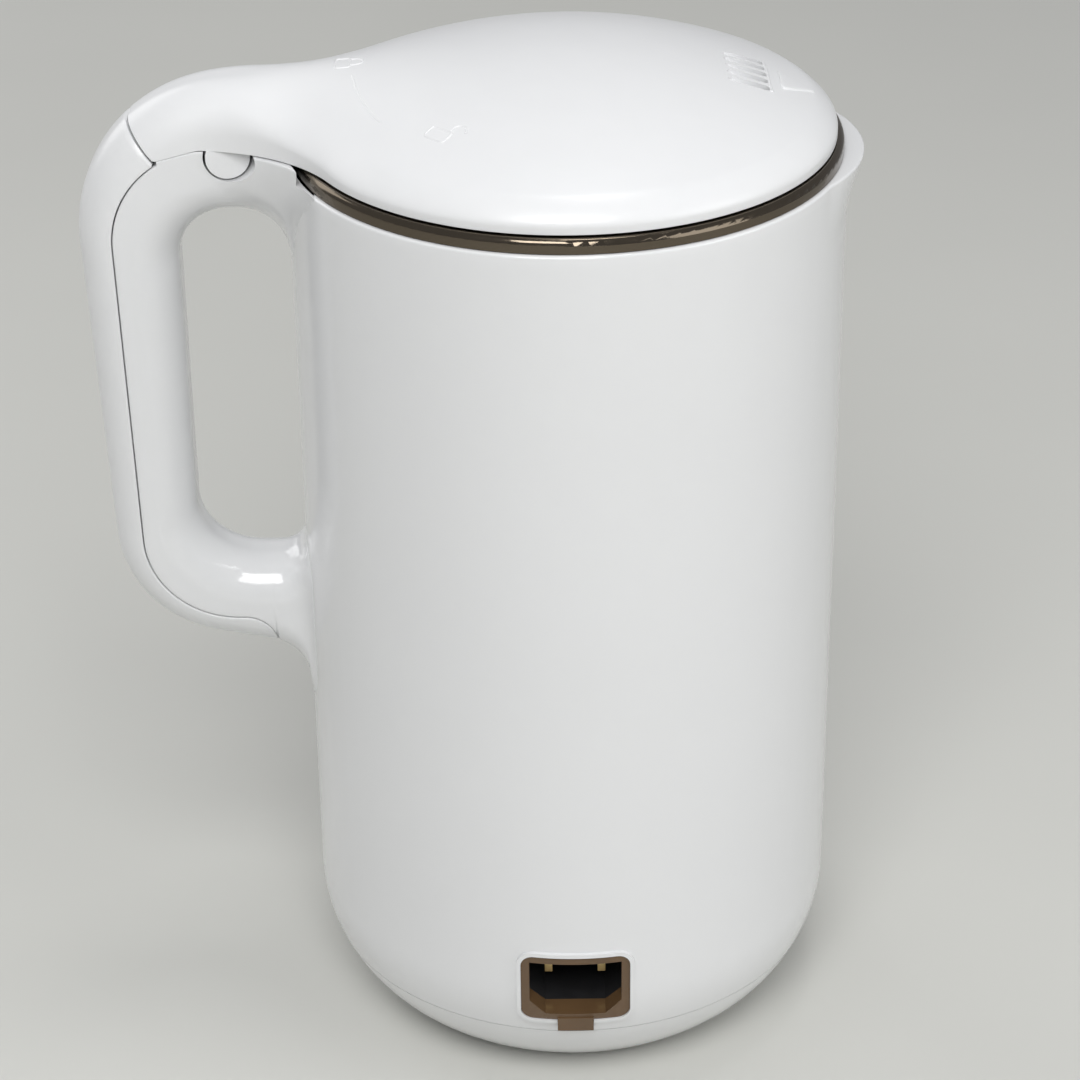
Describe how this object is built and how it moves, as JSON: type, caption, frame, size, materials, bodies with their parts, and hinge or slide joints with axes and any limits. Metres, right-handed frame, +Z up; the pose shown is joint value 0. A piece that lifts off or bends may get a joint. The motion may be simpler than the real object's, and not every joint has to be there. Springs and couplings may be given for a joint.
{
  "type": "electric soup maker",
  "caption": "Jug-shaped electric soup maker: white casing with loop handle and pouring lip, steel pot with spinning blade, lid that turns and lifts off, mains inlet.",
  "frame": {"origin": "on the casing's axis, on the surface that the feet stand on", "axes": "+Z up along the casing's axis, -X towards the handle, +X the pouring lip, -Y the mains inlet, +Y the controls"},
  "size_m": [0.197, 0.1409, 0.272],
  "materials": {
    "casing_white": "gloss white moulded plastic",
    "lid_white": "satin white moulded plastic",
    "inner_plastic": "plain heat-resistant plastic",
    "pot_steel": "bright stainless steel, polished at the rim",
    "screw_steel": "zinc-plated steel",
    "seal_silicone": "pale silicone",
    "foot_rubber": "matt rubber",
    "circuit_board": "soldered board",
    "heater_aluminium": "cast aluminium",
    "motor_iron": "iron core and ferrite",
    "bush_brass": "plain brass",
    "inlet_brown": "dark amber moulded plastic",
    "inlet_black": "black moulded plastic",
    "panel_grey": "gloss grey film",
    "lens_amber": "clear amber light pipe"
  },
  "bodies": {
    "base": {"base_cover": "casing_white", "base_screws": "screw_steel", "casing": "casing_white", "chassis": "inner_plastic", "control_board": "circuit_board", "control_panel": "panel_grey", "feet": "foot_rubber", "handle_cover": "lid_white", "handle_screw": "screw_steel", "heater_ring": "heater_aluminium", "indicator_lenses": "lens_amber", "inlet_bezel": "casing_white", "inlet_liner": "inlet_brown", "inlet_pins": "bush_brass", "inlet_socket": "inlet_black", "lid_sensor_board": "circuit_board", "lower_bush": "bush_brass", "motor_bracket": "screw_steel", "motor_can": "screw_steel", "motor_magnets": "motor_iron", "motor_screws": "screw_steel", "pot": "pot_steel", "pot_ring": "inner_plastic", "power_board": "circuit_board", "shaft_seal": "seal_silicone", "temperature_sensor": "heater_aluminium", "thermal_cutout": "heater_aluminium", "upper_bush": "bush_brass"},
    "rotor": {"motor_shaft": "screw_steel", "motor_rotor": "motor_iron", "cooling_fan": "inner_plastic", "blade": "pot_steel", "blade_nut": "pot_steel"},
    "lid_seal": {"lid_seal": "seal_silicone"},
    "lid": {"lid_cover": "lid_white", "lid_plate": "lid_white", "lid_magnet": "motor_iron", "lid_screws": "screw_steel"},
    "start_button": {"start_button": "lid_white"},
    "select_button": {"select_button": "lid_white"}
  },
  "joints": [
    {"name": "lid_lift", "type": "slide", "parent": "base", "child": "lid_seal", "axis": [0, 0, 1], "range_m": [0, 0.12]},
    {"name": "lid_turn", "type": "hinge", "parent": "lid_seal", "child": "lid", "pos_m": [0, 0, 0.25], "axis": [0, 0, 1], "range_deg": [0, 45]},
    {"name": "blade_spin", "type": "hinge", "parent": "base", "child": "rotor", "pos_m": [0, 0, 0.06], "axis": [0, 0, 1], "continuous": true},
    {"name": "start_press", "type": "slide", "parent": "base", "child": "start_button", "axis": [0, -1, 0], "range_m": [0, 0.001], "stiffness_N_per_m": 400},
    {"name": "select_press", "type": "slide", "parent": "base", "child": "select_button", "axis": [0, -1, 0], "range_m": [0, 0.001], "stiffness_N_per_m": 400}
  ]
}
